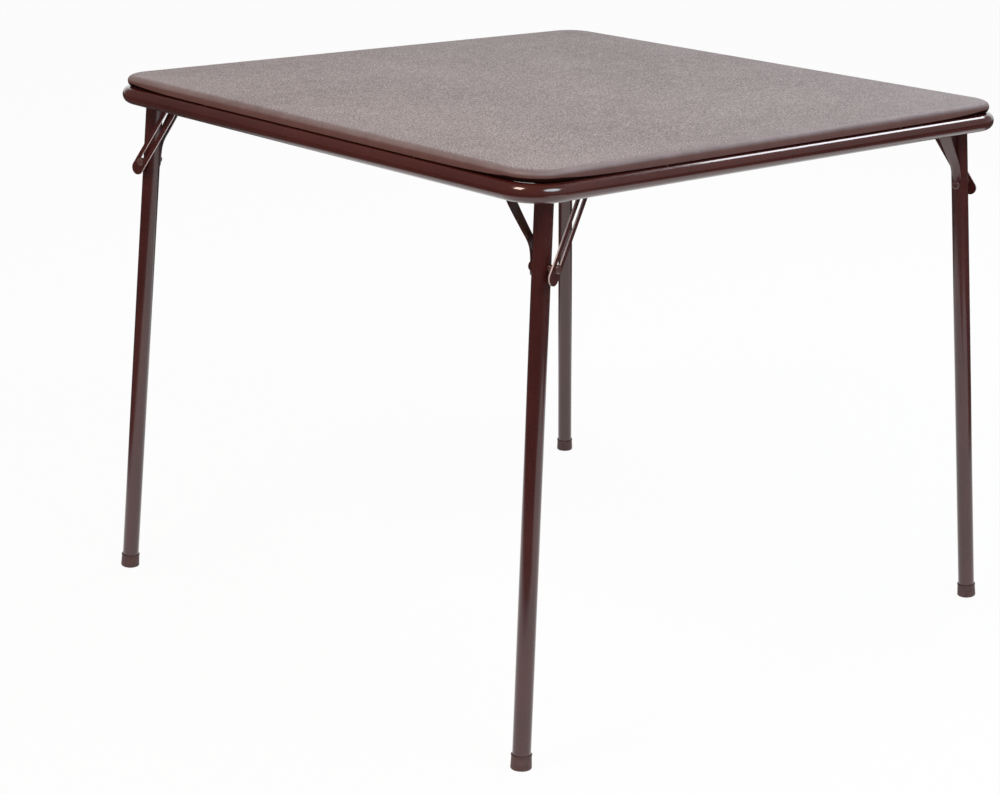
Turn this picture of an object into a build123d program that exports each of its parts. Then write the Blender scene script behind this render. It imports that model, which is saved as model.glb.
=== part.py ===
from build123d import *
import math
import os

# Folding card table. A padded square top lies on a bent tube rail. Each of the four legs turns on a
# rod in a pressed corner bracket, folds along the rail towards the next corner, and is held open by
# a slotted link. Millimetres, +Z up, origin on the floor under the middle of the top.

# Whole table
TABLE_SIDE = 850.9
TABLE_HEIGHT = 704.85

# Clearances and overruns
SEAT_CLEARANCE = 0.1
RUNNING_CLEARANCE = 0.08
FOLD_CLEARANCE = 0.6
WELD_GAP = 0.05
CUT_OVERRUN = 5.0

# Padded top
PAD_INSET = 7.4
PAD_THICKNESS = 15.35
PAD_TOP_ROUND = 8.0
PAD_BOTTOM_ROUND = 5.6
BOARD_THICKNESS = 5.0
COVER_THICKNESS = 0.85
HEM_WIDTH = 18.0

# Rail
RAIL_DIAMETER = 22.2
RAIL_WALL = 1.2
RAIL_CORNER_RADIUS = 50.0
RAIL_SCREW_SPACING = 420.0
RAIL_SCREW_ACCESS = 9.0

# Leg: a tube that leans outward in the plane it folds in, and a little sideways
LEG_DIAMETER = 22.2
LEG_WALL = 1.2
FOLD_TURN = 14.0
LEG_SPLAY = 4.866
LEG_SIDE_LEAN = 1.832
PIVOT_SETBACK = 31.0
STUD_DROP = 86.5

# Foot cap
CAP_HEIGHT = 18.0
CAP_TOP_DIAMETER = 24.2
CAP_BOTTOM_DIAMETER = 25.6
CAP_SOLE = 3.0
CAP_EDGE_ROUND = 2.0
CAP_BEAD_HEIGHT = 1.6
CAP_BEAD_STEP = 0.4

# Corner bracket
BRACKET_SHEET = 1.6
BRACKET_REACH = 130.0
BRACKET_TIP = 20.0
BRACKET_CORNER_CUT = 30.0
BRACKET_HOLE_DIAMETER = 26.0
BRACKET_HOLE_SHARE = (0.346, 0.577)
BRACKET_SCREW_SHARES = ((0.115, 0.115), (0.092, 0.862), (0.554, 0.477))
FLANGE_START = 78.0
FLANGE_LENGTH = 46.0
FLANGE_DROP = 17.5
EAR_CLEARANCE = 1.1
EAR_RADIUS = 9.0

# Pivot rod and push nut
ROD_DIAMETER = 7.0
ROD_HEAD_DIAMETER = 10.0
ROD_HEAD_HEIGHT = 1.2
ROD_HEAD_GAP = 1.25
ROD_TAIL = 3.0
NUT_DIAMETER = 13.0
NUT_THICKNESS = 1.0

# Y strap
STRAP_THICKNESS = 1.8
STRAP_FOOT_WIDTH = 13.5
STRAP_EYE_WIDTH = 18.0
STRAP_FOOT_TAIL = 4.0
STRAP_STRAIGHT = 24.0
STRAP_ANGLE = 35.0
STRAP_TAB_DROP = 12.0
STRAP_BEND_LENGTH = 4.0
STRAP_HEEL_BEND_LENGTH = 6.5
STRAP_STATIONS = 15
SADDLE_REACH = 2.8

# Rivet through strap and leg
RIVET_DIAMETER = 6.0
RIVET_HEAD_DIAMETER = 11.0
RIVET_HEAD_HEIGHT = 1.8
RIVET_DIMPLE_DIAMETER = 4.6
RIVET_DIMPLE_DEPTH = 1.2
RIVET_TAIL_DIAMETER = 9.0
RIVET_TAIL_HEIGHT = 0.9

# Slotted link
LINK_LEAN = 35.9
LINK_PIVOT_RISE = 1.0
LINK_WIDTH = 18.3
LINK_THICKNESS = 1.9
LINK_TAIL = 11.0
LINK_SPACER = 5.5
SLOT_WIDTH = 7.0
SLOT_START = 15.0

# Link rivet and lock stud
JOURNAL_DIAMETER = 6.4
SPACER_DIAMETER = 9.0
LINK_RIVET_SHANK = 5.0
STUD_GAP = 0.3
STUD_SLEEVE_DIAMETER = 8.0
STUD_COLLAR_HEIGHT = 1.6
HEAD_DIAMETER = 10.5
HEAD_HEIGHT = 2.3
HEAD_ROUND = 1.0

# Screws
SCREW_DIAMETER = 3.8
SCREW_HEAD_DIAMETER = 7.0
SCREW_HEAD_HEIGHT = 1.8
SCREW_BITE = 4.0

CORNERS = (("front_left", 0), ("front_right", 90), ("rear_right", 180), ("rear_left", 270))


# Heights, from the top down
pad_bottom = TABLE_HEIGHT - PAD_THICKNESS
rail_top = pad_bottom - SEAT_CLEARANCE
rail_radius = RAIL_DIAMETER / 2
rail_height = rail_top - rail_radius
board_bottom = pad_bottom + COVER_THICKNESS + SEAT_CLEARANCE
board_top = board_bottom + BOARD_THICKNESS
web_bottom = rail_top - BRACKET_SHEET
leg_radius = LEG_DIAMETER / 2
pivot_height = web_bottom - FOLD_CLEARANCE - leg_radius

# Plan sizes
rail_half = TABLE_SIDE / 2 - rail_radius
rail_inner = rail_half - rail_radius
rail_bend = RAIL_CORNER_RADIUS - rail_radius
pad_half = TABLE_SIDE / 2 - PAD_INSET
pad_corner = RAIL_CORNER_RADIUS - PAD_INSET

# Stations across one hinge, measured from the leg's axis towards the middle of the table
ear_inner_face = leg_radius + EAR_CLEARANCE
ear_outer_face = ear_inner_face + BRACKET_SHEET
link_inner_face = ear_outer_face + LINK_SPACER + SEAT_CLEARANCE
link_outer_face = link_inner_face + LINK_THICKNESS
strap_inner_face = leg_radius + SEAT_CLEARANCE
strap_rise = STUD_DROP - STRAP_STRAIGHT - STRAP_TAB_DROP
strap_reach = strap_inner_face + strap_rise * math.tan(math.radians(STRAP_ANGLE))
far_ear_face = strap_reach + STRAP_THICKNESS + EAR_CLEARANCE
rivet_tail_face = leg_radius + SEAT_CLEARANCE + RIVET_TAIL_HEIGHT


def tilted_frame(frame, angle):
    """A frame turned by an angle in degrees about its own y axis, z towards x."""
    return Plane(
        origin=frame.origin,
        x_dir=frame.x_dir.rotate(Axis((0, 0, 0), frame.y_dir), angle),
        z_dir=frame.z_dir.rotate(Axis((0, 0, 0), frame.y_dir), angle),
    )


# Front left hinge: x along the fold, y towards the middle, z up along the leg's side lean
turn = math.radians(FOLD_TURN)
lean = math.radians(LEG_SIDE_LEAN)
splay = math.radians(LEG_SPLAY)
fold_direction = Vector(math.cos(turn), math.sin(turn), 0)
inward = Vector(-math.sin(turn), math.cos(turn), 0) * math.cos(lean) - Vector(0, 0, math.sin(lean))
upward = fold_direction.cross(inward)
rod_head_reach = (ear_outer_face + ROD_HEAD_HEIGHT) * math.cos(turn)
rod_head_swing = ROD_HEAD_DIAMETER / 2 * math.sin(turn)
pivot = Vector(
    PIVOT_SETBACK - rail_inner,
    ROD_HEAD_GAP + rod_head_reach + rod_head_swing - rail_inner,
    pivot_height,
)
hinge_frame = Plane(origin=pivot, x_dir=fold_direction, z_dir=upward)
leg_frame = tilted_frame(hinge_frame, LEG_SPLAY)
leg_length = pivot_height / (math.cos(lean) * math.cos(splay))

# Link pivot, on the line of the slot through the stud
stud_x = -STUD_DROP * math.sin(splay)
stud_z = -STUD_DROP * math.cos(splay)
link_pivot_x = stud_x + (LINK_PIVOT_RISE - stud_z) * math.tan(math.radians(LINK_LEAN))
link_reach = math.hypot(link_pivot_x - stud_x, LINK_PIVOT_RISE - stud_z)
link_pivot = hinge_frame.from_local_coords(Vector(link_pivot_x, 0, LINK_PIVOT_RISE))
link_frame = tilted_frame(Plane(origin=link_pivot, x_dir=fold_direction, z_dir=upward), LINK_LEAN)
folded_x = STUD_DROP - link_pivot_x
folded_angle = 90 - math.degrees(math.atan2(LINK_PIVOT_RISE, folded_x))


def across_plane(station):
    """Plane across the front left hinge axis, x along the fold, y up, facing the rail."""
    place = hinge_frame.from_local_coords(Vector(0, station, 0))
    return Plane(origin=place, x_dir=fold_direction, z_dir=-inward)


def slid_frame(frame, distance):
    """A frame moved along its own z axis."""
    return Plane(origin=frame.origin + frame.z_dir * distance, x_dir=frame.x_dir, z_dir=frame.z_dir)


def turned_pin(steps):
    """Stepped pin on the Y axis, from (radius, start, end) steps."""
    with BuildPart() as pin:
        for radius, start, end in steps:
            with BuildSketch(Plane.XZ.offset(-start)):
                Circle(radius)
            extrude(amount=start - end)
    return pin


def round_end(pin, place, radius):
    """Rounds the rim of a pin's first (0) or last (-1) face along Y."""
    with BuildPart() as rounded:
        add(pin.part)
        fillet(rounded.faces().sort_by(Axis.Y)[place].edges(), radius)
    return rounded


def write_part(part, name):
    part.label = name
    export_step(part, f"parts/{name}.step")


def write_corners(piece, frame, name):
    """Writes a hinge piece, drawn about its own frame, once at each corner."""
    for corner, angle in CORNERS:
        placed = piece.part.moved(frame.location) if frame else piece.part
        write_part(placed.rotate(Axis.Z, angle), f"{name}_{corner}")


os.makedirs("parts", exist_ok=True)

# Places of the screws in plan
def bracket_place(share):
    """Place in plan of a bracket's hole, from its shares of the bracket's reach."""
    return BRACKET_REACH * share[0] - rail_inner, BRACKET_REACH * share[1] - rail_inner


bracket_screw_points = [bracket_place(share) for share in BRACKET_SCREW_SHARES]
side_points = [(-RAIL_SCREW_SPACING / 2, -rail_half), (RAIL_SCREW_SPACING / 2, -rail_half)]


def screw_holes(points, margin):
    """Circles round the screws of all four corners or sides, by a margin wider than the shank."""
    with BuildSketch() as holes:
        for corner, angle in CORNERS:
            with Locations(Location((0, 0, 0), angle)):
                with Locations(*points):
                    Circle(SCREW_DIAMETER / 2 + margin)
    return holes


# Vinyl cover: a thin skin over the foam and round the board's edge, with a hem underneath
def pad_form(inset, low, high, top_round, bottom_round):
    with BuildPart() as form:
        with BuildSketch(Plane.XY.offset(low)):
            side = (pad_half - inset) * 2
            RectangleRounded(side, side, pad_corner - inset)
        extrude(amount=high - low)
        fillet(form.faces().sort_by(Axis.Z)[-1].edges(), top_round)
        if bottom_round:
            fillet(form.faces().sort_by(Axis.Z)[0].edges(), bottom_round)
    return form


cover_outside = pad_form(0, pad_bottom, TABLE_HEIGHT, PAD_TOP_ROUND, PAD_BOTTOM_ROUND)
cover_inside = pad_form(
    COVER_THICKNESS,
    pad_bottom + COVER_THICKNESS,
    TABLE_HEIGHT - COVER_THICKNESS,
    PAD_TOP_ROUND - COVER_THICKNESS,
    PAD_BOTTOM_ROUND - COVER_THICKNESS,
)
with BuildPart() as vinyl_cover:
    add(cover_outside.part)
    add(cover_inside.part, mode=Mode.SUBTRACT)
    with BuildSketch(Plane.XY.offset(pad_bottom)):
        side = (pad_half - HEM_WIDTH) * 2
        RectangleRounded(side, side, pad_corner - HEM_WIDTH)
    extrude(amount=COVER_THICKNESS, mode=Mode.SUBTRACT)
    with BuildSketch(Plane.XY.offset(pad_bottom)):
        add(screw_holes(side_points, SEAT_CLEARANCE).sketch)
    extrude(amount=PAD_BOTTOM_ROUND, mode=Mode.SUBTRACT)
write_part(vinyl_cover.part, "vinyl_cover")

# Foam sheet under the vinyl
foam_inset = COVER_THICKNESS + SEAT_CLEARANCE
foam_top_round = PAD_TOP_ROUND - foam_inset
foam_pad = pad_form(foam_inset, board_top, TABLE_HEIGHT - foam_inset, foam_top_round, 0)
write_part(foam_pad.part, "foam_pad")

# Hardboard panel with a rounded lower edge and the screws' pilot holes
with BuildPart() as top_board:
    with BuildSketch(Plane.XY.offset(board_bottom)):
        side = (pad_half - foam_inset) * 2
        RectangleRounded(side, side, pad_corner - foam_inset)
    extrude(amount=BOARD_THICKNESS)
    fillet(top_board.faces().sort_by(Axis.Z)[0].edges(), PAD_BOTTOM_ROUND - foam_inset)
    with BuildSketch(Plane.XY.offset(board_bottom)):
        add(screw_holes(side_points + bracket_screw_points, WELD_GAP).sketch)
    extrude(amount=SCREW_BITE + SEAT_CLEARANCE, mode=Mode.SUBTRACT)
write_part(top_board.part, "top_board")

# Rail: one tube bent into a rounded square, with screw holes through its bottom and top walls
with BuildSketch(Plane.XY.offset(rail_height)) as rail_plan:
    RectangleRounded(rail_half * 2, rail_half * 2, rail_bend)
rail_path = rail_plan.sketch.face().outer_wire()
with BuildPart() as frame_rail:
    with BuildSketch(Plane(rail_path @ 0, z_dir=rail_path % 0)):
        Circle(rail_radius)
        Circle(rail_radius - RAIL_WALL, mode=Mode.SUBTRACT)
    sweep(path=rail_path)
    with BuildSketch(Plane.XY.offset(rail_height)):
        add(screw_holes(side_points, SEAT_CLEARANCE).sketch)
    extrude(amount=RAIL_DIAMETER, mode=Mode.SUBTRACT)
    with BuildSketch(Plane.XY.offset(rail_height)):
        add(screw_holes(side_points, (RAIL_SCREW_ACCESS - SCREW_DIAMETER) / 2).sketch)
    extrude(amount=-RAIL_DIAMETER, mode=Mode.SUBTRACT)
write_part(frame_rail.part, "frame_rail")


# Screws: pan head below, shank up into the board
def screw_group(points, head_top):
    with BuildPart() as screws:
        with BuildSketch(Plane.XY.offset(head_top)):
            add(screw_holes(points, (SCREW_HEAD_DIAMETER - SCREW_DIAMETER) / 2).sketch)
        extrude(amount=-SCREW_HEAD_HEIGHT)
        fillet(screws.edges().group_by(Axis.Z)[0], SCREW_HEAD_HEIGHT / 2)
        with BuildSketch(Plane.XY.offset(head_top)):
            add(screw_holes(points, 0).sketch)
        extrude(amount=board_bottom + SCREW_BITE - head_top)
    return screws


write_part(screw_group(bracket_screw_points, web_bottom).part, "bracket_screws")
head_seat = math.sqrt((rail_radius - RAIL_WALL) ** 2 - (SCREW_HEAD_DIAMETER / 2) ** 2)
write_part(screw_group(side_points, rail_height + head_seat).part, "rail_screws")

# Corner bracket: a pressed gusset with two rail flanges and two ears that carry the rod
with BuildPart() as corner_bracket:
    with BuildSketch(Plane.XY.offset(web_bottom)):
        edge = WELD_GAP - rail_inner
        reach = BRACKET_REACH - rail_inner
        tip = BRACKET_TIP - rail_inner
        cut = BRACKET_CORNER_CUT - rail_inner
        with BuildLine():
            Polyline(
                (edge, cut), (cut, edge), (reach, edge), (reach, tip), (tip, reach), (edge, reach), close=True
            )
        make_face()
        with Locations(bracket_place(BRACKET_HOLE_SHARE)):
            Circle(BRACKET_HOLE_DIAMETER / 2, mode=Mode.SUBTRACT)
        with Locations(*bracket_screw_points):
            Circle(SCREW_DIAMETER / 2 + SEAT_CLEARANCE, mode=Mode.SUBTRACT)
    extrude(amount=BRACKET_SHEET)
    with BuildSketch(Plane.XY.offset(rail_top)):
        flange_middle = FLANGE_START + FLANGE_LENGTH / 2 - rail_inner
        with Locations((edge + BRACKET_SHEET / 2, flange_middle)):
            Rectangle(BRACKET_SHEET, FLANGE_LENGTH)
        with Locations((flange_middle, edge + BRACKET_SHEET / 2)):
            Rectangle(FLANGE_LENGTH, BRACKET_SHEET)
    extrude(amount=-FLANGE_DROP)
    # Ear beside the rail, with the holes of the rod and of the link's rivet
    web_middle = web_bottom + BRACKET_SHEET / 2
    near_station = -ear_inner_face
    near_rise = (web_middle - pivot_height + near_station * math.sin(lean)) / math.cos(lean)
    with BuildSketch(across_plane(near_station)):
        with Locations((link_pivot_x / 2, 0)):
            Rectangle(link_pivot_x + EAR_RADIUS * 2, near_rise, align=(Align.CENTER, Align.MIN))
            SlotCenterToCenter(link_pivot_x, EAR_RADIUS * 2)
        Circle(ROD_DIAMETER / 2 + RUNNING_CLEARANCE, mode=Mode.SUBTRACT)
        with Locations((link_pivot_x, LINK_PIVOT_RISE)):
            Circle(LINK_RIVET_SHANK / 2 + WELD_GAP, mode=Mode.SUBTRACT)
    extrude(amount=BRACKET_SHEET)
    # Ear on the far side of the strap
    far_station = far_ear_face + BRACKET_SHEET
    far_rise = (web_middle - pivot_height + far_station * math.sin(lean)) / math.cos(lean)
    with BuildSketch(across_plane(far_station)):
        Rectangle(EAR_RADIUS * 2, far_rise, align=(Align.CENTER, Align.MIN))
        Circle(EAR_RADIUS)
        Circle(ROD_DIAMETER / 2 + RUNNING_CLEARANCE, mode=Mode.SUBTRACT)
    extrude(amount=BRACKET_SHEET)
write_corners(corner_bracket, None, "corner_bracket")

# Pivot rod across the bracket, headed at the rail side, and the push nut that keeps it
rod_end = far_ear_face + BRACKET_SHEET + SEAT_CLEARANCE + NUT_THICKNESS + ROD_TAIL
rod_head_face = -ear_outer_face - SEAT_CLEARANCE / 2
pivot_rod = turned_pin((
    (ROD_HEAD_DIAMETER / 2, rod_head_face - ROD_HEAD_HEIGHT, rod_head_face),
    (ROD_DIAMETER / 2, rod_head_face, rod_end),
))
pivot_rod = round_end(pivot_rod, 0, ROD_HEAD_HEIGHT / 2)
write_corners(pivot_rod, hinge_frame, "pivot_rod")

nut_face = far_ear_face + BRACKET_SHEET + SEAT_CLEARANCE
with BuildPart() as push_nut:
    with BuildSketch(Plane.XZ.offset(-nut_face)):
        Circle(NUT_DIAMETER / 2)
        Circle(ROD_DIAMETER / 2 + WELD_GAP, mode=Mode.SUBTRACT)
    extrude(amount=-NUT_THICKNESS)
with BuildPart() as rod_push_nuts:
    for corner, angle in CORNERS:
        add(push_nut.part.moved(hinge_frame.location).rotate(Axis.Z, angle))
write_part(rod_push_nuts.part, "rod_push_nuts")

# Leg tube: its top is rounded about the rod so that it turns under the bracket
with BuildPart() as leg_tube:
    tube_drop = leg_length - CAP_SOLE
    with BuildSketch(Plane.XY.offset(-tube_drop)):
        Circle(leg_radius)
        Circle(leg_radius - LEG_WALL, mode=Mode.SUBTRACT)
    extrude(amount=tube_drop + leg_radius)
    with BuildSketch(Plane.XZ):
        Rectangle(LEG_DIAMETER + CUT_OVERRUN, leg_radius + CUT_OVERRUN, align=(Align.CENTER, Align.MIN))
        Circle(leg_radius, mode=Mode.SUBTRACT)
    extrude(amount=leg_radius + CUT_OVERRUN, both=True, mode=Mode.SUBTRACT)
    with BuildSketch(Plane.XZ):
        Circle(ROD_DIAMETER / 2 + RUNNING_CLEARANCE)
        with Locations((0, -STUD_DROP)):
            Circle(RIVET_DIAMETER / 2 + WELD_GAP)
    extrude(amount=leg_radius + CUT_OVERRUN, both=True, mode=Mode.SUBTRACT)
write_corners(leg_tube, leg_frame, "leg_tube")

# Y strap: a saddle on the leg's side, bent away in a soft S to its own flat eye on the rod
strap_bend_low = STRAP_STRAIGHT - STUD_DROP
strap_bend_high = -STRAP_TAB_DROP
strap_low = -STUD_DROP - STRAP_FOOT_TAIL - STRAP_FOOT_WIDTH
strap_high = STRAP_EYE_WIDTH / 2 + CUT_OVERRUN


def soft_step(rise, bend_length):
    """0 well below a bend and 1 well above it."""
    return 1 / (1 + math.exp(-rise / bend_length))


def soft_rise(rise, bend_length):
    """Length climbed past a bend, rounded off over the bend's length."""
    return bend_length * math.log1p(math.exp(rise / bend_length))


def strap_section(height):
    """Closed band across the strap: an arc round the leg at the foot, almost flat at the eye."""
    above_heel = height - strap_bend_low
    above_neck = height - strap_bend_high
    climb = soft_rise(above_heel, STRAP_HEEL_BEND_LENGTH) - soft_rise(above_neck, STRAP_BEND_LENGTH)
    slope = soft_step(above_heel, STRAP_HEEL_BEND_LENGTH) - soft_step(above_neck, STRAP_BEND_LENGTH)
    slope *= math.tan(math.radians(STRAP_ANGLE))
    crest = strap_inner_face + climb * math.tan(math.radians(STRAP_ANGLE))
    across = STRAP_THICKNESS * math.hypot(1, slope)
    half = (STRAP_EYE_WIDTH + RUNNING_CLEARANCE) / 2
    saddle_sag = strap_inner_face - math.sqrt(strap_inner_face**2 - half**2)
    flattened = soft_step(above_heel - STRAP_BEND_LENGTH * 2, STRAP_BEND_LENGTH)
    sag = saddle_sag * (1 - flattened) + WELD_GAP
    with BuildSketch(Plane.XY.offset(height)) as section:
        with BuildLine():
            ThreePointArc((-half, crest - sag), (0, crest), (half, crest - sag))
            Line((half, crest - sag), (half, crest - sag + across))
            ThreePointArc((half, crest - sag + across), (0, crest + across), (-half, crest - sag + across))
            Line((-half, crest - sag + across), (-half, crest - sag))
        make_face()
    return section.sketch.face()


with BuildPart() as leg_strap:
    saddle_top = strap_bend_low - STRAP_HEEL_BEND_LENGTH * SADDLE_REACH
    add(strap_section(strap_low))
    extrude(amount=saddle_top - strap_low)
    rise = (strap_high - saddle_top) / (STRAP_STATIONS - 1)
    loft([strap_section(saddle_top + rise * step) for step in range(STRAP_STATIONS)])
    with BuildSketch(Plane.XZ.offset(-leg_radius / 2)):
        half_foot = STRAP_FOOT_WIDTH / 2
        half_eye = STRAP_EYE_WIDTH / 2
        Circle(half_eye)
        with Locations((0, -STUD_DROP - STRAP_FOOT_TAIL)):
            Circle(half_foot)
        with BuildLine():
            Polyline(
                (-half_foot, -STUD_DROP - STRAP_FOOT_TAIL),
                (half_foot, -STUD_DROP - STRAP_FOOT_TAIL),
                (half_foot, strap_bend_low),
                (half_eye, strap_bend_high),
                (half_eye, 0),
                (-half_eye, 0),
                (-half_eye, strap_bend_high),
                (-half_foot, strap_bend_low),
                close=True,
            )
        make_face()
        Circle(ROD_DIAMETER / 2 + RUNNING_CLEARANCE, mode=Mode.SUBTRACT)
        with Locations((0, -STUD_DROP)):
            Circle(RIVET_DIAMETER / 2 + WELD_GAP, mode=Mode.SUBTRACT)
    extrude(amount=-strap_reach, mode=Mode.INTERSECT)
write_corners(leg_strap, leg_frame, "leg_strap")

# Rivet through leg and strap, with a dimpled head on the strap
strap_face = strap_inner_face + STRAP_THICKNESS + WELD_GAP
leg_rivet = turned_pin((
    (RIVET_TAIL_DIAMETER / 2, -rivet_tail_face, RIVET_TAIL_HEIGHT - rivet_tail_face),
    (RIVET_DIAMETER / 2, RIVET_TAIL_HEIGHT - rivet_tail_face, strap_face),
    (RIVET_HEAD_DIAMETER / 2, strap_face, strap_face + RIVET_HEAD_HEIGHT),
))
leg_rivet = round_end(leg_rivet, -1, RIVET_HEAD_HEIGHT * 2 / 3)
with BuildPart() as leg_rivet_dimpled:
    add(leg_rivet.part)
    with BuildSketch(Plane.XZ.offset(-strap_face - RIVET_HEAD_HEIGHT)):
        Circle(RIVET_DIMPLE_DIAMETER / 2)
    extrude(amount=RIVET_DIMPLE_DEPTH, mode=Mode.SUBTRACT)
write_corners(leg_rivet_dimpled, slid_frame(leg_frame, -STUD_DROP), "leg_rivet")

# Foot cap: a cup over the tube's end, worn flat where it stands on the floor
with BuildPart() as cap_form:
    with BuildSketch(Plane.XZ):
        bore = leg_radius + WELD_GAP
        top = CAP_HEIGHT - leg_length
        with BuildLine():
            Polyline(
                (0, -leg_length),
                (CAP_BOTTOM_DIAMETER / 2, -leg_length),
                (CAP_TOP_DIAMETER / 2, top - CAP_BEAD_HEIGHT),
                (CAP_TOP_DIAMETER / 2 + CAP_BEAD_STEP, top - CAP_BEAD_HEIGHT),
                (CAP_TOP_DIAMETER / 2 + CAP_BEAD_STEP, top),
                (bore, top),
                (bore, CAP_SOLE - leg_length),
                (0, CAP_SOLE - leg_length),
                close=True,
            )
        make_face()
    revolve(axis=Axis.Z)
    fillet(cap_form.edges().sort_by(Axis.Z)[0], CAP_EDGE_ROUND)
with BuildPart() as foot_cap:
    add(cap_form.part.moved(leg_frame.location))
    split(bisect_by=Plane.XY, keep=Keep.TOP)
write_corners(foot_cap, None, "foot_cap")

# Slotted link, hung on the bracket's ear
with BuildPart() as lock_link:
    with BuildSketch(Plane.XZ.offset(link_inner_face)):
        plate_span = link_reach + LINK_TAIL
        with Locations((0, -plate_span / 2)):
            SlotCenterToCenter(plate_span, LINK_WIDTH, rotation=90)
        slot_span = link_reach - SLOT_START
        with Locations((0, -SLOT_START - slot_span / 2)):
            SlotCenterToCenter(slot_span, SLOT_WIDTH, rotation=90, mode=Mode.SUBTRACT)
        Circle(JOURNAL_DIAMETER / 2 + RUNNING_CLEARANCE, mode=Mode.SUBTRACT)
    extrude(amount=LINK_THICKNESS)
write_corners(lock_link, link_frame, "lock_link")

# Shouldered rivet that carries the link, staked flush in the ear
journal_start = link_inner_face - SEAT_CLEARANCE
head_start = link_outer_face + SEAT_CLEARANCE
link_rivet = turned_pin((
    (HEAD_DIAMETER / 2, -head_start - HEAD_HEIGHT, -head_start),
    (JOURNAL_DIAMETER / 2, -head_start, -journal_start),
    (SPACER_DIAMETER / 2, -journal_start, -ear_outer_face),
    (LINK_RIVET_SHANK / 2, -ear_outer_face, -ear_inner_face),
))
link_rivet = round_end(link_rivet, 0, HEAD_ROUND)
write_corners(link_rivet, link_frame, "link_rivet")

# Lock stud: sleeve and collar behind the link, neck in its slot, head in front
stud_neck = SLOT_WIDTH / 2 - RUNNING_CLEARANCE
lock_stud = turned_pin((
    (HEAD_DIAMETER / 2, -head_start - HEAD_HEIGHT, -head_start),
    (stud_neck, -head_start, -journal_start),
    (HEAD_DIAMETER / 2, -journal_start, STUD_COLLAR_HEIGHT - journal_start),
    (STUD_SLEEVE_DIAMETER / 2, STUD_COLLAR_HEIGHT - journal_start, -rivet_tail_face - STUD_GAP),
))
lock_stud = round_end(lock_stud, 0, HEAD_ROUND)
write_corners(lock_stud, slid_frame(link_frame, -link_reach), "lock_stud")

print("pivot", pivot, "link pivot", link_pivot, "link reach", link_reach)
print("fold direction", fold_direction, "inward", inward, "up", upward)
print("slide", link_reach - math.hypot(folded_x, LINK_PIVOT_RISE), "swing", LINK_LEAN + folded_angle)
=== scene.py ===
import math
import random

import bpy
from mathutils import Matrix, Vector


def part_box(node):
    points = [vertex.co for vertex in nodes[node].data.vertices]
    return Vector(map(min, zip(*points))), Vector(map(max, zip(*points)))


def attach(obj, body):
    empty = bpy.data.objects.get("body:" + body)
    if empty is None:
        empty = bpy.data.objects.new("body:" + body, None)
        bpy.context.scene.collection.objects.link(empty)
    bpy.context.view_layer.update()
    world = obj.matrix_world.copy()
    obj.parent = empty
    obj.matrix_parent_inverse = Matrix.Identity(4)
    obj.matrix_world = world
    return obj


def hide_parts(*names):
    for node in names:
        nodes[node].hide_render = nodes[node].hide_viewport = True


MM = 0.001
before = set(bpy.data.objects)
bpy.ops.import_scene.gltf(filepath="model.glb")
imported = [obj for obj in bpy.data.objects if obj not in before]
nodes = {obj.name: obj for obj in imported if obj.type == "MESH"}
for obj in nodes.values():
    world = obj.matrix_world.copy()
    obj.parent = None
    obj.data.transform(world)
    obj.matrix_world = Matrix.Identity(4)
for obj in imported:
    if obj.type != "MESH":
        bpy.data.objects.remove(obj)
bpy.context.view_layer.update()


# Camera: where the photograph was taken from, fitted to the table's known sizes
CAMERA_PLACE = (-2.0053, -2.1741, 1.1778)
CAMERA_AZIMUTH = -43.99
CAMERA_ELEVATION = 17.48
CAMERA_ROLL = 1.64
CAMERA_FOCAL_PIXELS = 2226.1
CAMERA_AXIS_PIXEL = (598.6, 416.2)
PICTURE_SIZE = (1000, 795)
SENSOR_WIDTH = 36.0


def make_camera():
    azimuth, elevation, roll = (
        math.radians(angle) for angle in (CAMERA_AZIMUTH, CAMERA_ELEVATION, CAMERA_ROLL)
    )
    back = Vector((
        math.sin(azimuth) * math.cos(elevation),
        -math.cos(azimuth) * math.cos(elevation),
        math.sin(elevation),
    ))
    level = Vector((0, 0, 1)).cross(back).normalized()
    over = back.cross(level)
    right = level * math.cos(roll) + over * math.sin(roll)
    up = over * math.cos(roll) - level * math.sin(roll)
    data = bpy.data.cameras.new("camera")
    data.sensor_width = SENSOR_WIDTH
    data.lens = SENSOR_WIDTH * CAMERA_FOCAL_PIXELS / PICTURE_SIZE[0]
    data.shift_x = (PICTURE_SIZE[0] / 2 - CAMERA_AXIS_PIXEL[0]) / PICTURE_SIZE[0]
    data.shift_y = (CAMERA_AXIS_PIXEL[1] - PICTURE_SIZE[1] / 2) / PICTURE_SIZE[0]
    camera = bpy.data.objects.new("camera", data)
    turn = Matrix((right, up, back)).transposed()
    camera.matrix_world = Matrix.Translation(CAMERA_PLACE) @ turn.to_4x4()
    bpy.context.scene.collection.objects.link(camera)
    bpy.context.scene.camera = camera


# Node helpers. A mix node has its factor and its two colours at these sockets.
MIX_SOCKETS = (0, 6, 7)
MIX_RESULT = 2


def new_material(name):
    material = bpy.data.materials.new(name)
    material.use_nodes = True
    tree = material.node_tree
    return material, tree, tree.nodes["Principled BSDF"]


def add_node(tree, kind, **settings):
    """A node whose settings are socket values where it has such a socket, or else properties."""
    node = tree.nodes.new(kind)
    for key, value in settings.items():
        if key in node.inputs:
            node.inputs[key].default_value = value
        else:
            setattr(node, key, value)
    return node


def noise(tree, scale, detail, roughness=0.5):
    """Noise over the piece's own coordinates, in metres."""
    place = add_node(tree, "ShaderNodeTexCoord")
    node = add_node(tree, "ShaderNodeTexNoise", Scale=scale, Detail=detail, Roughness=roughness)
    tree.links.new(place.outputs["Object"], node.inputs["Vector"])
    return node.outputs["Fac"]


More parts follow.
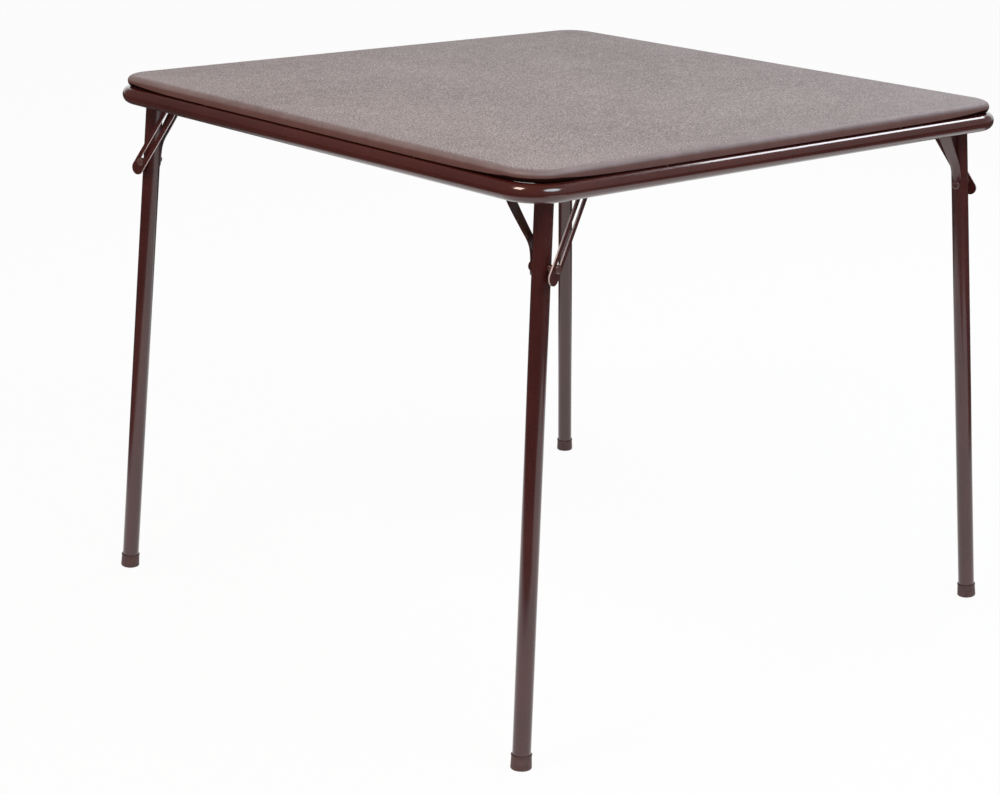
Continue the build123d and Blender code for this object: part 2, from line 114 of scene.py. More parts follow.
def ramp(tree, value, stops, colours):
    node = add_node(tree, "ShaderNodeValToRGB")
    while len(node.color_ramp.elements) < len(stops):
        node.color_ramp.elements.new(0.5)
    for element, stop, colour in zip(node.color_ramp.elements, stops, colours):
        element.position = stop
        element.color = (*colour, 1)
    tree.links.new(value, node.inputs["Fac"])
    return node.outputs["Color"]


def mix_colour(tree, factor, first, second):
    """Mixes two colours by a factor. Each of the three is a value or another node's output."""
    node = add_node(tree, "ShaderNodeMix", data_type="RGBA", blend_type="MIX")
    for index, value in zip(MIX_SOCKETS, (factor, first, second)):
        socket = node.inputs[index]
        if isinstance(value, bpy.types.NodeSocket):
            tree.links.new(value, socket)
        elif isinstance(value, tuple):
            socket.default_value = (*value, 1)
        else:
            socket.default_value = value
    return node.outputs[MIX_RESULT]


def map_range(tree, value, from_low, from_high, low=0.0, high=1.0):
    node = add_node(tree, "ShaderNodeMapRange")
    ends = {"From Min": from_low, "From Max": from_high, "To Min": low, "To Max": high}
    for name, number in ends.items():
        node.inputs[name].default_value = number
    tree.links.new(value, node.inputs["Value"])
    return node.outputs["Result"]


def combine(tree, operation, first, second):
    """Maths on two node outputs."""
    node = add_node(tree, "ShaderNodeMath", operation=operation)
    tree.links.new(first, node.inputs[0])
    tree.links.new(second, node.inputs[1])
    return node.outputs[0]


def bump(tree, shader, heights):
    """Chains bumps from (height, strength, depth in metres) onto a shader's normal."""
    last = None
    for height, strength, depth in heights:
        node = add_node(tree, "ShaderNodeBump", Strength=strength, Distance=depth)
        tree.links.new(height, node.inputs["Height"])
        if last:
            tree.links.new(last, node.inputs["Normal"])
        last = node.outputs["Normal"]
    tree.links.new(last, shader.inputs["Normal"])


# Colours
VINYL_DARK = (0.084, 0.046, 0.044)
VINYL_MIDDLE = (0.170, 0.116, 0.116)
VINYL_LIGHT = (0.318, 0.246, 0.248)
VINYL_DEEP = (0.040, 0.021, 0.019)
VINYL_FLECK = (0.52, 0.45, 0.45)
# Painted shade: the pad's sides take these darker, redder browns than the top, whose lighter grey
# is partly painted sheen
VINYL_SHADED_SIDE_DARK = (0.108, 0.040, 0.034)
VINYL_SHADED_SIDE_LIGHT = (0.156, 0.068, 0.058)
# Painted shade: near-black where the vinyl turns under, for the shade in the crease above the rail
VINYL_CREASE_SHADE = (0.012, 0.003, 0.002)
RAIL_DARK = (0.052, 0.0095, 0.0075)
RAIL_LIGHT = (0.078, 0.0160, 0.0125)
LEG_DARK = (0.052, 0.0088, 0.0075)
LEG_LIGHT = (0.076, 0.0160, 0.0140)
HEAD_DARK = (0.085, 0.030, 0.026)
HEAD_LIGHT = (0.130, 0.060, 0.054)
# Painted highlight: light colours on the lock link's cut edges, for the glints along them
EDGE_HIGHLIGHT_DARK = (0.44, 0.32, 0.31)
EDGE_HIGHLIGHT_LIGHT = (0.72, 0.60, 0.59)
BOARD_DARK = (0.085, 0.042, 0.02)
BOARD_LIGHT = (0.19, 0.105, 0.055)
CAP_DARK = (0.070, 0.029, 0.026)
CAP_LIGHT = (0.14, 0.072, 0.066)
ZINC_DARK = (0.42, 0.42, 0.40)
ZINC_LIGHT = (0.62, 0.62, 0.6)

# Noise fields: scale, detail and, where it isn't the usual one, roughness
COAT_CLOUD = (9, 3)
COAT_SPECK = (900, 2)
COAT_RUB = (60, 4)
COAT_PEEL = (260, 2)
COAT_WAVE = (60, 2)
SUEDE_CLOUD = (44, 8, 0.72)
SUEDE_PATCH = (5, 4, 0.55)
SUEDE_GRAIN = (460, 4, 0.85)
SUEDE_PORES = (900, 3, 0.6)
BOARD_FIBRE = (260, 5, 0.7)
CAP_SCUFF = (130, 5, 0.65)
CAP_FINE = (900, 2)
ZINC_SPANGLE = (200, 3, 0.6)
ZINC_FINE = (500, 2)

# Bumps: strength and depth
COAT_PEEL_RELIEF = (0.04, 0.3 * MM)
COAT_WAVE_RELIEF = (0.05, 1.2 * MM)
SUEDE_GRAIN_RELIEF = (0.1, 0.3 * MM)
SUEDE_PORES_RELIEF = (0.2, 0.2 * MM)
BOARD_SCREEN_RELIEF = (0.5, 0.6 * MM)
BOARD_FIBRE_RELIEF = (0.2, 0.5 * MM)
CAP_RELIEF = (0.2, 0.3 * MM)
ZINC_RELIEF = (0.1, 0.2 * MM)

# Powder coat
COAT_STOPS = (0.3, 0.7)
SPECK_RANGE = (0.55, 0.8)
SPECK_SHARE = 0.35
RUB_SMOOTHER = 0.05
RUB_ROUGHER = 0.09
COAT_SPECULAR = 0.5
COAT_WEIGHT = 0.85
COAT_ROUGHNESS = 0.04

# Suede vinyl: ranges of the noise, and of facing, which is 1 where the vinyl faces up, 0 where
# it stands upright and less where it turns under
PRINT_STOPS = (0.32, 0.50, 0.68)
PATCH_RANGE = (0.42, 0.66)
PATCH_SHARE = 0.65
GRAIN_DEEP_RANGE = (0.44, 0.50)
GRAIN_FLECK_RANGE = (0.51, 0.57)
GRAIN_FLECK_SHARE = 0.9
PLAIN_SHARE = 0.7
SIDE_STOPS = (0.1, 0.9)
# Facings over which the top's print, lighter as painted sheen, gives way to the sides' painted
# shade
PRINT_AND_SHADE_FACING = (0.08, 0.5)
GRAIN_FACING = (0.93, 1.0)
TUCK_FACING = (-0.18, -0.04)
# How far the painted crease shade covers the colour where the vinyl turns under
TUCK_SHADE_SHARE = 0.97
GRAIN_ROUGH_RANGE = (0.4, 0.6)
SUEDE_ROUGHNESS = (0.46, 0.62)
STRETCH_FACING = (0.8, 1.0)
STRETCH_ROUGHNESS = (0.95, 1.0)
SUEDE_SPECULAR = (0.02, 0.5)
SHEEN_FACING = (-0.2, 0.1)
SHEEN_WEIGHT = (0, 0.1)
SHEEN_ROUGHNESS = 0.4

# Hardboard, cap plastic and zinc
BOARD_STOPS = (0.3, 0.7)
BOARD_ROUGHNESS = 0.72
BOARD_SCREEN_SCALE = 420.0
CAP_STOPS = (0.35, 0.8)
CAP_ROUGHNESS = (0.38, 0.62)
ZINC_STOPS = (0.3, 0.7)
ZINC_ROUGHNESS = (0.28, 0.45)


def powder_coat(name, dark, light, roughness):
    """Glossy powder coat with a faint orange peel and rubbed patches."""
    material, tree, shader = new_material(name)
    cloud = noise(tree, *COAT_CLOUD)
    speck = noise(tree, *COAT_SPECK)
    base = ramp(tree, cloud, COAT_STOPS, (dark, light))
    specked = map_range(tree, speck, *SPECK_RANGE, 0, SPECK_SHARE)
    tree.links.new(mix_colour(tree, specked, base, light), shader.inputs["Base Color"])
    rubbed = (roughness - RUB_SMOOTHER, roughness + RUB_ROUGHER)
    rub = map_range(tree, noise(tree, *COAT_RUB), 0, 1, *rubbed)
    tree.links.new(rub, shader.inputs["Roughness"])
    shader.inputs["Specular IOR Level"].default_value = COAT_SPECULAR
    shader.inputs["Coat Weight"].default_value = COAT_WEIGHT
    shader.inputs["Coat Roughness"].default_value = COAT_ROUGHNESS
    peel = (noise(tree, *COAT_PEEL), *COAT_PEEL_RELIEF)
    wave = (noise(tree, *COAT_WAVE), *COAT_WAVE_RELIEF)
    bump(tree, shader, (peel, wave))
    return material


def suede_vinyl():
    """Brown vinyl printed and embossed like suede: grey clouds and flecks on top, plainer where
    it rolls down. The top's lighter grey is partly painted sheen, the darker red-brown where it
    rolls down is painted shade, and the near-black where it turns under is painted shade in the
    crease."""
    material, tree, shader = new_material("suede_vinyl")
    cloud = noise(tree, *SUEDE_CLOUD)
    patch = noise(tree, *SUEDE_PATCH)
    grain = noise(tree, *SUEDE_GRAIN)
    place = add_node(tree, "ShaderNodeTexCoord")
    normal = add_node(tree, "ShaderNodeSeparateXYZ")
    tree.links.new(place.outputs["Normal"], normal.inputs[0])
    facing = normal.outputs["Z"]

    printed = ramp(tree, cloud, PRINT_STOPS, (VINYL_DARK, VINYL_MIDDLE, VINYL_LIGHT))
    patched = map_range(tree, patch, *PATCH_RANGE, 0, PATCH_SHARE)
    printed = mix_colour(tree, patched, printed, VINYL_LIGHT)
    deep = map_range(tree, grain, *GRAIN_DEEP_RANGE, 1, 0)
    grained = mix_colour(tree, deep, printed, VINYL_DEEP)
    fleck = map_range(tree, grain, *GRAIN_FLECK_RANGE, 0, GRAIN_FLECK_SHARE)
    grained = mix_colour(tree, fleck, grained, VINYL_FLECK)
    plain = mix_colour(tree, PLAIN_SHARE, printed, VINYL_MIDDLE)
    printed = mix_colour(tree, map_range(tree, facing, *GRAIN_FACING), plain, grained)
    # Painted shade on the sides and painted sheen on the top: the colour turns from the top's
    # lighter print to darker red-brown where the vinyl rolls down
    shaded_side = ramp(tree, cloud, SIDE_STOPS, (VINYL_SHADED_SIDE_DARK, VINYL_SHADED_SIDE_LIGHT))
    colour = mix_colour(tree, map_range(tree, facing, *PRINT_AND_SHADE_FACING), shaded_side, printed)
    # Painted shade: the colour turns near-black where the vinyl turns under, for the shade in its
    # crease
    tuck_shade = map_range(tree, facing, *TUCK_FACING, TUCK_SHADE_SHARE, 0)
    tree.links.new(mix_colour(tree, tuck_shade, colour, VINYL_CREASE_SHADE), shader.inputs["Base Color"])

    rough = map_range(tree, grain, *GRAIN_ROUGH_RANGE, *SUEDE_ROUGHNESS)
    stretched = map_range(tree, facing, *STRETCH_FACING, *STRETCH_ROUGHNESS)
    tree.links.new(combine(tree, "MULTIPLY", rough, stretched), shader.inputs["Roughness"])
    specular = map_range(tree, facing, *TUCK_FACING, *SUEDE_SPECULAR)
    tree.links.new(specular, shader.inputs["Specular IOR Level"])
    sheen = map_range(tree, facing, *SHEEN_FACING, *SHEEN_WEIGHT)
    tree.links.new(sheen, shader.inputs["Sheen Weight"])
    shader.inputs["Sheen Roughness"].default_value = SHEEN_ROUGHNESS
    pores = noise(tree, *SUEDE_PORES)
    bump(tree, shader, ((grain, *SUEDE_GRAIN_RELIEF), (pores, *SUEDE_PORES_RELIEF)))
    return material


def hardboard():
    """Screen-backed hardboard: dark brown fibre with the press screen's fine waffle."""
    material, tree, shader = new_material("hardboard")
    fibre = noise(tree, *BOARD_FIBRE)
    colour = ramp(tree, fibre, BOARD_STOPS, (BOARD_DARK, BOARD_LIGHT))
    tree.links.new(colour, shader.inputs["Base Color"])
    shader.inputs["Roughness"].default_value = BOARD_ROUGHNESS
    screen = add_node(
        tree, "ShaderNodeTexVoronoi", Scale=BOARD_SCREEN_SCALE, distance="CHEBYCHEV", Randomness=0.0
    )
    place = add_node(tree, "ShaderNodeTexCoord")
    tree.links.new(place.outputs["Object"], screen.inputs["Vector"])
    waffle = screen.outputs["Distance"]
    bump(tree, shader, ((waffle, *BOARD_SCREEN_RELIEF), (fibre, *BOARD_FIBRE_RELIEF)))
    return material


def speckled(name, field, stops, colours, roughness, fine, relief, metallic=0.0):
    """A material whose colour and roughness follow one noise, with a finer one as its bump."""
    material, tree, shader = new_material(name)
    speckle = noise(tree, *field)
    tree.links.new(ramp(tree, speckle, stops, colours), shader.inputs["Base Color"])
    tree.links.new(map_range(tree, speckle, 0, 1, *roughness), shader.inputs["Roughness"])
    shader.inputs["Metallic"].default_value = metallic
    bump(tree, shader, ((noise(tree, *fine), *relief),))
    return material


rail_paint = powder_coat("rail_paint", RAIL_DARK, RAIL_LIGHT, roughness=0.15)
leg_paint = powder_coat("leg_paint", LEG_DARK, LEG_LIGHT, roughness=0.2)
head_paint = powder_coat("head_paint", HEAD_DARK, HEAD_LIGHT, roughness=0.25)
# Painted highlight for the glints along the lock link's edges
painted_edge_highlight = powder_coat("painted_edge_highlight", EDGE_HIGHLIGHT_DARK, EDGE_HIGHLIGHT_LIGHT, roughness=0.3)
vinyl = suede_vinyl()
board_material = hardboard()
cap_material = speckled(
    "cap_plastic", CAP_SCUFF, CAP_STOPS, (CAP_DARK, CAP_LIGHT), CAP_ROUGHNESS, CAP_FINE, CAP_RELIEF
)
zinc = speckled(
    "zinc_steel", ZINC_SPANGLE, ZINC_STOPS, (ZINC_DARK, ZINC_LIGHT), ZINC_ROUGHNESS, ZINC_FINE,
    ZINC_RELIEF, metallic=1.0,
)

NODE_MATERIALS = {
    "frame_rail": rail_paint,
    "corner_bracket": rail_paint,
    "leg_tube": leg_paint,
    "leg_strap": leg_paint,
    "leg_rivet": head_paint,
    "lock_link": leg_paint,
    "lock_stud": head_paint,
    "link_rivet": leg_paint,
    "foot_cap": cap_material,
    "top_board": board_material,
    "foam_pad": vinyl,
    "vinyl_cover": vinyl,
    "bracket_screws": zinc,
    "rail_screws": zinc,
    "rod_push_nuts": zinc,
    "pivot_rod": zinc,
}

# Plates: how wide their edges are rounded, and the material of their cut edges, which face away
# from
# # the plate's largest face by more than the angle of this cosine. On the lock link that material
# is a
# # painted highlight, light colours for the glints along its edges.
SOFT_EDGES = {
    "leg_strap": (0.45 * MM, leg_paint),
    "lock_link": (0.65 * MM, painted_edge_highlight),
    "corner_bracket": (0.45 * MM, rail_paint),
}
EDGE_SLOT = 1
EDGE_SEGMENTS = 2
CUT_EDGE_COSINE = 0.5


def paint_cut_edges(piece):
    """Gives the second material to the faces that stand across a plate's largest face."""
    broad = max(piece.data.polygons, key=lambda face: face.area).normal.copy()
    for face in piece.data.polygons:
        if abs(face.normal.dot(broad)) < CUT_EDGE_COSINE:
            face.material_index = EDGE_SLOT


def soften_edges(piece, width, edge):
    piece.data.materials.append(edge)
    paint_cut_edges(piece)
    bevel = piece.modifiers.new("soft_edges", "BEVEL")
    bevel.width = width
    bevel.segments = EDGE_SEGMENTS
    bevel.limit_method = "ANGLE"
    bevel.material = EDGE_SLOT


def dress_nodes():
    for name, piece in nodes.items():
        for start, material in NODE_MATERIALS.items():
            if name.startswith(start):
                piece.data.materials.clear()
                piece.data.materials.append(material)
        for start, (width, edge) in SOFT_EDGES.items():
            if name.startswith(start):
                soften_edges(piece, width, edge)


def make_piece(name, verts, faces, material):
    """A smooth piece of the table top."""
    mesh = bpy.data.meshes.new(name)
    mesh.from_pydata(verts, [], faces)
    mesh.validate()
    mesh.polygons.foreach_set("use_smooth", [True] * len(mesh.polygons))
    mesh.materials.append(material)
    piece = bpy.data.objects.new(name, mesh)
    bpy.context.scene.collection.objects.link(piece)
    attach(piece, "table_top")
    return piece


def band_faces(first, rows, count):
    """Quads between consecutive closed rings of points."""
    faces = []
    for row in range(rows - 1):
        start = first + row * count
        for index in range(count):
            here, after = start + index, start + (index + 1) % count
            faces.append((here, after, after + count, here + count))
    return faces


# Padded top. The roll is its upper edge, the tuck its lower one, and the hem lies below the board.
cover_low, cover_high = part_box("vinyl_cover")
board_low, board_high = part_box("top_board")
PAD_CORNER = 42.6 * MM
PAD_CORNER_LEAST = 3 * MM
PAD_CROWN = 0.5 * MM
CROWN_FADE = 45.0 * MM
PAD_TOP_ROLL = 11.0 * MM
PAD_TOP_DROP = 7.6 * MM
SIDE_TOP_ROLL = 10.5 * MM
SIDE_TOP_DROP = 8.4 * MM
ROLL_FULLNESS = 0.9
ROLL_FADE = 5
PAD_TUCK = 5.6 * MM
SIDE_TUCK_HEIGHT = 1.0 * MM
CORNER_TUCK_HEIGHT = 6.2 * MM
TUCK_EDGE = 0.5 * MM
TUCK_FADE = 2.5
TUCK_WAVE = 0.3 * MM
TUCK_PLEAT = 0.35 * MM
PLEAT_TURN = 2.4
HEM_WIDTH = 18.0 * MM
HEM_EDGE_HEIGHT = 0.2 * MM
HEM_EDGE_ROUND = 0.4 * MM
SKIN = 0.95 * MM
BOARD_GAP = 0.05 * MM
SKIN_TURN = ((0, 3.2 * MM), (1.0 * MM, 0.9 * MM), (3.2 * MM, -BOARD_GAP))
FOAM_INSETS = (200 * MM, 20 * MM)
CROWN_INSETS = (16, 22, 30, 42, 58, 80, 110, 150, 200, 250, 300, 350, 395)
HEM_RINGS = 4
TUCK_RINGS = 10
ROLL_RINGS = 12
CORNER_STEPS = 20
SIDE_STEPS = 44
INWARD_STEP = 1 * MM
PAD_SEED = 11
WAVE_COUNT = 6
WAVE_TURNS = (26, 110)
WAVE_SIZE = (0.12, 0.3)


def outline(inset):
    """Rounded square ring of points, an inset inside the pad's side."""
    half = cover_high.x - inset
    radius = max(PAD_CORNER - inset, PAD_CORNER_LEAST)
    points = []
    for _ in range(4):
        middle = Vector((half - radius, half - radius))
        for step in range(CORNER_STEPS + 1):
            angle = math.radians(90 * step / CORNER_STEPS)
            points.append(middle + radius * Vector((math.cos(angle), math.sin(angle))))
        start, end = points[-1], Vector((radius - half, half))
        for step in range(1, SIDE_STEPS):
            points.append(start.lerp(end, step / SIDE_STEPS))
        points = [Vector((p.y, -p.x)) for p in points]
    return points


def pad_profile():
    """Rings of the pad's skin, hem to middle: inset, height, looseness, share of the tuck's height,
    and how far the ring moves in and up where the roll is crisper along the straight sides."""
    low, high = cover_low.z, cover_high.z
    rings = [
        (HEM_WIDTH, board_low.z - BOARD_GAP, 0, 0, 0, 0),
        (HEM_WIDTH, low + HEM_EDGE_HEIGHT, 0, 0, 0, 0),
        (HEM_WIDTH - HEM_EDGE_ROUND, low, 0, 0, 0, 0),
    ]
    for step in range(1, HEM_RINGS + 1):
        rings.append((HEM_WIDTH + (PAD_TUCK - HEM_WIDTH) * step / HEM_RINGS, low, 0, 0, 0, 0))
    for step in range(1, TUCK_RINGS + 1):
        angle = math.radians(90 * step / TUCK_RINGS)
        loose = math.sin(2 * angle) if step < TUCK_RINGS / 2 else math.sin(2 * angle) ** 2
        inset = PAD_TUCK * (1 - math.sin(angle))
        rings.append((inset, low, max(loose, 0), 1 - math.cos(angle), 0, 0))
    rings.append((0, low + TUCK_EDGE, 0, 1, 0, 0))
    for step in range(1, ROLL_RINGS + 1):
        angle = math.radians(90 * step / ROLL_RINGS)
        share = math.sin(angle) ** ROLL_FULLNESS
        height = high - PAD_CROWN - PAD_TOP_DROP * (1 - share)
        crisp_in = (SIDE_TOP_ROLL - PAD_TOP_ROLL) * (1 - math.cos(angle))
        crisp_up = (PAD_TOP_DROP - SIDE_TOP_DROP) * (1 - share)
        rings.append((PAD_TOP_ROLL * (1 - math.cos(angle)), height, 0, 0, crisp_in, crisp_up))
    for inset in CROWN_INSETS:
        fade = math.exp(-(inset * MM - PAD_TOP_ROLL) / CROWN_FADE)
        rings.append((inset * MM, high - PAD_CROWN * fade, 0, 0, 0, 0))
    return rings


def pad_inside():
    """Rings of the foam's underside and the skin's inner face round the board: inset, height."""
    rings = [(inset, board_high.z + BOARD_GAP) for inset in (*FOAM_INSETS, SKIN)]
    return rings + [(SKIN + inset, board_low.z + height) for inset, height in SKIN_TURN]


def skin_points(ring, count, waves):
    """One ring of the skin, pulled in by its waves and by the pleats round the corners."""
    inset, height, loose, rise, crisp_in, crisp_up = ring
    side_count = count // 4
    points = []
    for index, (point, inner) in enumerate(zip(outline(inset), outline(inset + INWARD_STEP))):
        around = index / count
        wave = sum(
            size * math.sin(math.tau * turns * around + phase) for turns, phase, size in waves
        )
        step = index % side_count
        at_corner = step <= CORNER_STEPS
        away = 0 if at_corner else min(step - CORNER_STEPS, side_count - step)
        corner_share = math.exp(-away / TUCK_FADE)
        tuck = SIDE_TUCK_HEIGHT + (CORNER_TUCK_HEIGHT - SIDE_TUCK_HEIGHT) * corner_share
        straight = 1 - math.exp(-away / ROLL_FADE)
        pleat = 0.5 + 0.5 * math.sin(index * PLEAT_TURN) if at_corner else 0
        pulled = loose * (TUCK_WAVE * (1 + wave) + TUCK_PLEAT * pleat)
        place = point + (inner - point).normalized() * (pulled + straight * crisp_in)
        points.append((place.x, place.y, height + rise * tuck + straight * crisp_up))
    return points


def make_padded_top():
    """The vinyl's skin outside, the foam's underside and the skin's inner face inside it."""
    rng = random.Random(PAD_SEED)
    waves = [
        (rng.randint(*WAVE_TURNS), rng.uniform(0, math.tau), rng.uniform(*WAVE_SIZE))
        for _ in range(WAVE_COUNT)
    ]
    count = len(outline(0))
    outside, inside = pad_profile(), pad_inside()
    verts = []
    for ring in outside:
        verts.extend(skin_points(ring, count, waves))
    last_outside = len(verts) - count
    middle_top = len(verts)
    verts.append((0, 0, cover_high.z))
    first_inside = len(verts)
    for inset, height in inside:
        verts.extend((point.x, point.y, height) for point in outline(inset))
    last_inside = len(verts) - count
    middle_low = len(verts)
    verts.append((0, 0, board_high.z + BOARD_GAP))

    faces = band_faces(0, len(outside), count)
    afters = [(index + 1) % count for index in range(count)]
    for index, after in enumerate(afters):
        faces.append((last_outside + index, last_outside + after, middle_top))
    faces.extend(band_faces(first_inside, len(inside), count))
    for index, after in enumerate(afters):
        faces.append((last_inside + index, last_inside + after, after, index))
    for index, after in enumerate(afters):
        faces.append((first_inside + after, first_inside + index, middle_low))
    pad = make_piece("padded_top", verts, faces, vinyl)
    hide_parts("vinyl_cover", "foam_pad")


# Small forms of the frame and hem. Profiles, lumps, the wander and shifts are in millimetres, the
# tilt in degrees.
rail_low, rail_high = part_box("frame_rail")
RAIL_RADIUS = (rail_high.z - rail_low.z) / 2
SEAM_PLACE = 28 * MM
SEAM_PROFILE = (
    (-1.5, -0.3), (-1.1, 0.02), (-0.55, 0.13), (0, 0.17), (0.55, 0.13), (1.1, 0.02), (1.5, -0.3)
)
SEAM_SEED = 5
SEAM_STEPS = 72
SEAM_LUMP = 0.05
SEAM_WANDER = 0.25
SEAM_WAVES = 3
STAPLE_PROFILE = (
    (-5.2, 0.55), (-5.1, -0.1), (-4.7, -0.38), (4.7, -0.38), (5.1, -0.1), (5.2, 0.55)
)
STAPLE_SEED = 3
STAPLE_WIRE = 0.32 * MM
STAPLE_FACETS = 6
STAPLE_SPACING = 38 * MM
STAPLE_REACH = 285 * MM
STAPLE_INSET = 16.3 * MM
STAPLE_SHIFT_ALONG = 2
STAPLE_SHIFT_ACROSS = 0.3
STAPLE_TILT = 5


def either_way(rng, most):
    return rng.uniform(-most, most)


def make_seam():
    """The dressed butt weld that closes the rail's ring, low under the paint."""
    rng = random.Random(SEAM_SEED)
    verts = []
    middle = Vector((rail_low.x + RAIL_RADIUS, SEAM_PLACE, (rail_low.z + rail_high.z) / 2))
    for along, rise in SEAM_PROFILE:
        for step in range(SEAM_STEPS):
            angle = math.tau * step / SEAM_STEPS
            lump = either_way(rng, SEAM_LUMP) if rise > 0 else 0
            radius = RAIL_RADIUS + (rise + lump) * MM
            wander = SEAM_WANDER * math.sin(SEAM_WAVES * angle) * MM
            place = (math.cos(angle) * radius, along * MM + wander, math.sin(angle) * radius)
            verts.append(middle + Vector(place))
    faces = band_faces(0, len(SEAM_PROFILE), SEAM_STEPS)
    make_piece("rail_weld_seam", verts, faces, rail_paint)


def staple_points(place, tilt):
    """Rings of one bent wire, along the staple's profile."""
    points = []
    for along, height in STAPLE_PROFILE:
        for index in range(STAPLE_FACETS):
            angle = math.tau * index / STAPLE_FACETS
            ring = Vector((0, math.cos(angle) * STAPLE_WIRE, math.sin(angle) * STAPLE_WIRE))
            points.append(place + tilt @ (Vector((along * MM, 0, height * MM)) + ring))
    return points


def make_staples():
    """Wire staples that hold the vinyl's hem to the board, inside the rail."""
    rng = random.Random(STAPLE_SEED)
    verts, faces = [], []
    half = cover_high.x - STAPLE_INSET
    count = int(STAPLE_REACH / STAPLE_SPACING)
    for side in range(4):
        turn = Matrix.Rotation(math.radians(90 * side), 3, "Z")
        for step in range(-count, count + 1):
            along = step * STAPLE_SPACING + either_way(rng, STAPLE_SHIFT_ALONG) * MM
            across = half + either_way(rng, STAPLE_SHIFT_ACROSS) * MM
            tilt = Matrix.Rotation(math.radians(either_way(rng, STAPLE_TILT)), 3, "Z")
            faces.extend(band_faces(len(verts), len(STAPLE_PROFILE), STAPLE_FACETS))
            points = staple_points(Vector((along, across, cover_low.z)), tilt)
            verts.extend(turn @ point for point in points)
    make_piece("hem_staples", verts, faces, zinc)


# Floor, world and lights. A FACING is a range of the cosine to the direction named before it.
WHITE = (1, 1, 1)
FLOOR_SIZE = 60
FLOOR_SHADE = (0.9, 0.9, 0.9, 1)
FLOOR_ROUGHNESS = 0.9
FLOOR_SPECULAR = 0.1
SHADOW_SHARE = 0.05
FLOOR_GLOW = 0.03
DISC_GLOW = 0.9
FLOOR_DISCS = (((0.05, -0.28, 0), 1.17, 1.5), ((0.1, -2.1, 0), 0.7, 1.1))
WORLD_LIGHT = 0.36
LEFT = (-0.97, 0.1, -0.2)
LEFT_FACING = (0.7, 0.95)
LEFT_WALL = 1.5
LEFT_TINT = (1, 0.84, 0.74)
FRONT = (-0.69, -0.72, 0)
FRONT_FACING = (-0.9, -0.6)
RIGHT = (0.72, -0.69, 0)
RIGHT_FACING = (0.2, 0.8)
ROOM_GLOW = (0.11, 0.27)
LIGHT_TARGET = (0, 0, 0.68)
LIGHTS = {
    "right_softbox": {
        "direction": (0.76, 0.03, 0.61), "distance": 3.6, "size": (2.0, 1.0),
        "power": 46, "colour": (0.90, 0.94, 1), "shape": "RECTANGLE",
    },
    "front_softbox": {
        "direction": (0.01, -0.78, 0.62), "distance": 3.2, "size": (2.1, 1.3),
        "power": 49, "colour": (0.78, 0.93, 1), "shape": "ELLIPSE",
    },
    "left_softbox": {
        "direction": (-1.54, -0.10, 1.51), "distance": 2.16, "size": (0.62, 0.68),
        "power": 20, "colour": (1, 0.80, 0.66), "shape": "RECTANGLE",
    },
}


def share_along(tree, direction, start, end, first, last):
    """A level that goes from first to last as the world's direction turns towards another."""
    place = add_node(tree, "ShaderNodeTexCoord")
    along = add_node(tree, "ShaderNodeVectorMath", operation="DOT_PRODUCT")
    along.inputs[1].default_value = direction
    tree.links.new(place.outputs["Generated"], along.inputs[0])
    return map_range(tree, along.outputs["Value"], start, end, first, last)


def mix_shaders(tree, share, first, second):
    node = add_node(tree, "ShaderNodeMixShader")
    for socket, output in zip(node.inputs, (share, first, second)):
        tree.links.new(output, socket)
    return node.outputs[0]


def floor_glow(tree, clear):
    """White where the floor is seen, and a dim glow with two bright discs for its other light."""
    place = add_node(tree, "ShaderNodeTexCoord")
    strength = clear
    for centre, near, far in FLOOR_DISCS:
        away = add_node(tree, "ShaderNodeVectorMath", operation="DISTANCE")
        away.inputs[1].default_value = centre
        tree.links.new(place.outputs["Object"], away.inputs[0])
        disc = map_range(tree, away.outputs["Value"], near, far, DISC_GLOW, FLOOR_GLOW)
        strength = combine(tree, "MAXIMUM", strength, disc)
    return strength


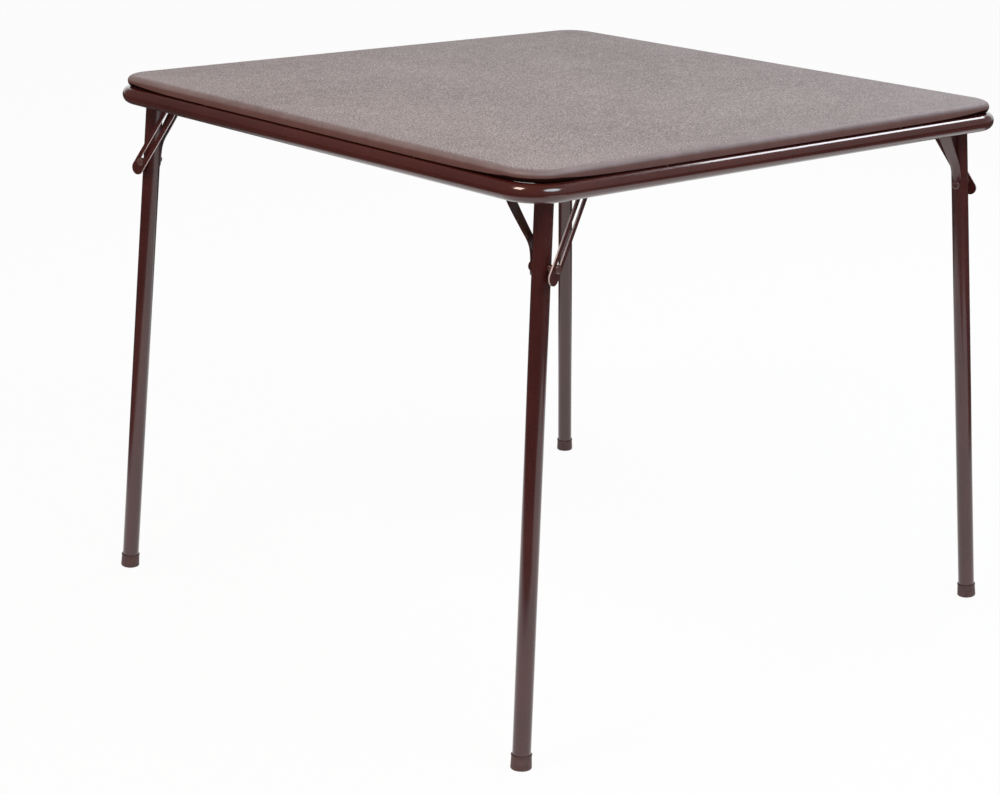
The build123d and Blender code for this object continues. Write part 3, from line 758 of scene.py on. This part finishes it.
def make_floor():
    """A pale floor that is seen as white but for a share of the object's shadow."""
    mesh = bpy.data.meshes.new("floor")
    half = FLOOR_SIZE / 2
    square = [(-half, -half, 0), (half, -half, 0), (half, half, 0), (-half, half, 0)]
    mesh.from_pydata(square, [], [(0, 1, 2, 3)])
    floor = bpy.data.objects.new("floor", mesh)
    bpy.context.scene.collection.objects.link(floor)
    material, tree, shader = new_material("floor")
    shader.inputs["Base Color"].default_value = FLOOR_SHADE
    shader.inputs["Roughness"].default_value = FLOOR_ROUGHNESS
    shader.inputs["Specular IOR Level"].default_value = FLOOR_SPECULAR
    path = add_node(tree, "ShaderNodeLightPath").outputs
    clear = combine(tree, "MAXIMUM", path["Is Camera Ray"], path["Is Transmission Ray"])
    glow = add_node(tree, "ShaderNodeEmission", Color=(*WHITE, 1))
    tree.links.new(floor_glow(tree, clear), glow.inputs["Strength"])
    seen = combine(tree, "MAXIMUM", clear, path["Is Glossy Ray"])
    share = map_range(tree, seen, 0, 1, 0, 1 - SHADOW_SHARE)
    surface = mix_shaders(tree, share, shader.outputs[0], glow.outputs[0])
    tree.links.new(surface, tree.nodes["Material Output"].inputs["Surface"])
    mesh.materials.append(material)


def make_world():
    """Plain light on the object, white seen directly, and a dimmer studio room in reflections."""
    world = bpy.data.worlds.new("studio")
    bpy.context.scene.world = world
    world.use_nodes = True
    tree = world.node_tree
    light = tree.nodes["Background"]
    wall = share_along(tree, LEFT, *LEFT_FACING, 0, 1)
    tree.links.new(mix_colour(tree, wall, WHITE, LEFT_TINT), light.inputs["Color"])
    strength = share_along(tree, LEFT, *LEFT_FACING, WORLD_LIGHT, LEFT_WALL)
    tree.links.new(strength, light.inputs["Strength"])
    room = add_node(tree, "ShaderNodeBackground", Color=(*WHITE, 1))
    backdrop = share_along(tree, FRONT, *FRONT_FACING, 1, 0)
    walls = share_along(tree, RIGHT, *RIGHT_FACING, *ROOM_GLOW)
    tree.links.new(combine(tree, "MAXIMUM", backdrop, walls), room.inputs["Strength"])
    white = add_node(tree, "ShaderNodeBackground", Color=(*WHITE, 1), Strength=1.0)
    path = add_node(tree, "ShaderNodeLightPath").outputs
    reflected = mix_shaders(tree, path["Is Glossy Ray"], light.outputs[0], room.outputs[0])
    clear = combine(tree, "MAXIMUM", path["Is Camera Ray"], path["Is Transmission Ray"])
    surface = mix_shaders(tree, clear, reflected, white.outputs[0])
    tree.links.new(surface, tree.nodes["World Output"].inputs["Surface"])


def make_light(name, direction, distance, size, power, colour, shape):
    data = bpy.data.lights.new(name, "AREA")
    data.shape = shape
    data.size, data.size_y = size
    data.energy = power
    data.color = colour
    light = bpy.data.objects.new(name, data)
    target = Vector(LIGHT_TARGET)
    light.location = target + Vector(direction).normalized() * distance
    light.rotation_euler = (target - light.location).to_track_quat("-Z", "Y").to_euler()
    bpy.context.scene.collection.objects.link(light)


def make_lights():
    for name, settings in LIGHTS.items():
        make_light(name, **settings)


make_camera()
dress_nodes()
make_padded_top()
make_seam()
make_staples()
make_floor()
make_world()
make_lights()
bpy.context.scene.view_settings.view_transform = "Standard"
